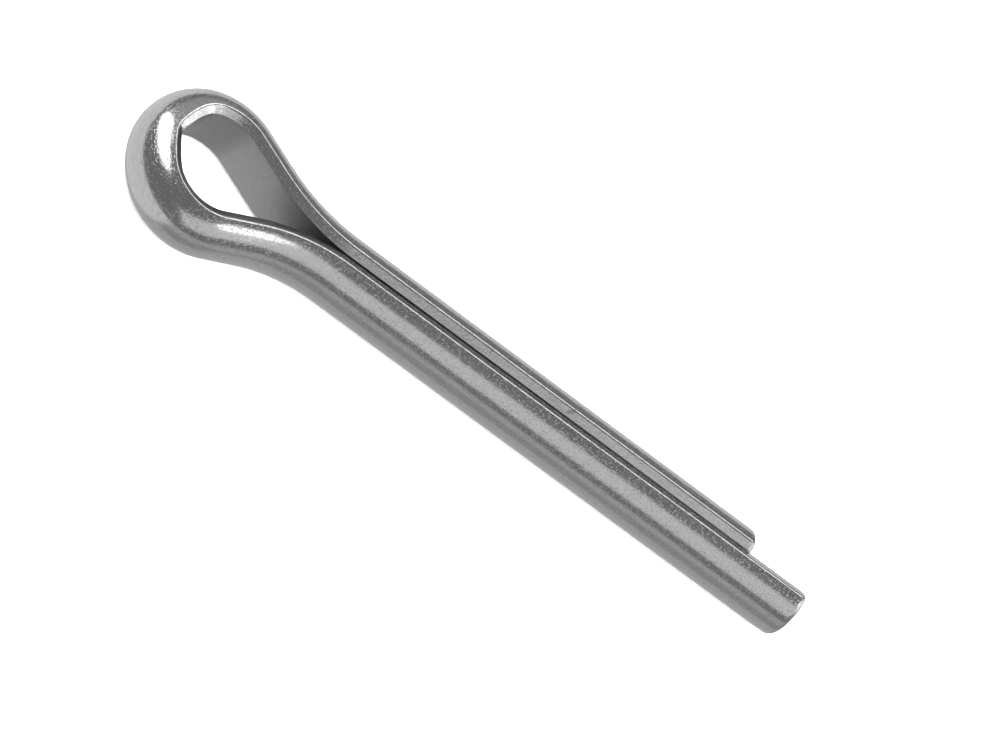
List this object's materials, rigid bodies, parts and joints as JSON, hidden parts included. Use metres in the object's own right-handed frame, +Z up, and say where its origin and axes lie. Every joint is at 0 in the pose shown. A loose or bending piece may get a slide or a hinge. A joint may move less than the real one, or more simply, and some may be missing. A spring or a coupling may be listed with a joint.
{
  "type": "cotter pin",
  "caption": "Cotter pin bent from half-round steel wire: an open round eye and close-set legs of unequal length, which pass through a drilled hole and are spread to lock it.",
  "frame": {"origin": "on the pin's axis, midway between the flat faces of the legs, at the root of the straight legs where they leave the eye", "axes": "+X along the legs towards their free ends, +Z up, square to the plane of the eye, with the pin lying flat; +Y towards the shorter leg"},
  "size_m": [0.0769, 0.0158, 0.0066],
  "materials": {
    "steel_wire": "bright drawn half-round steel wire, tumbled, with fine pits and drawing marks"
  },
  "bodies": {
    "root": {"cotter_pin": "steel_wire"}
  },
  "joints": []
}
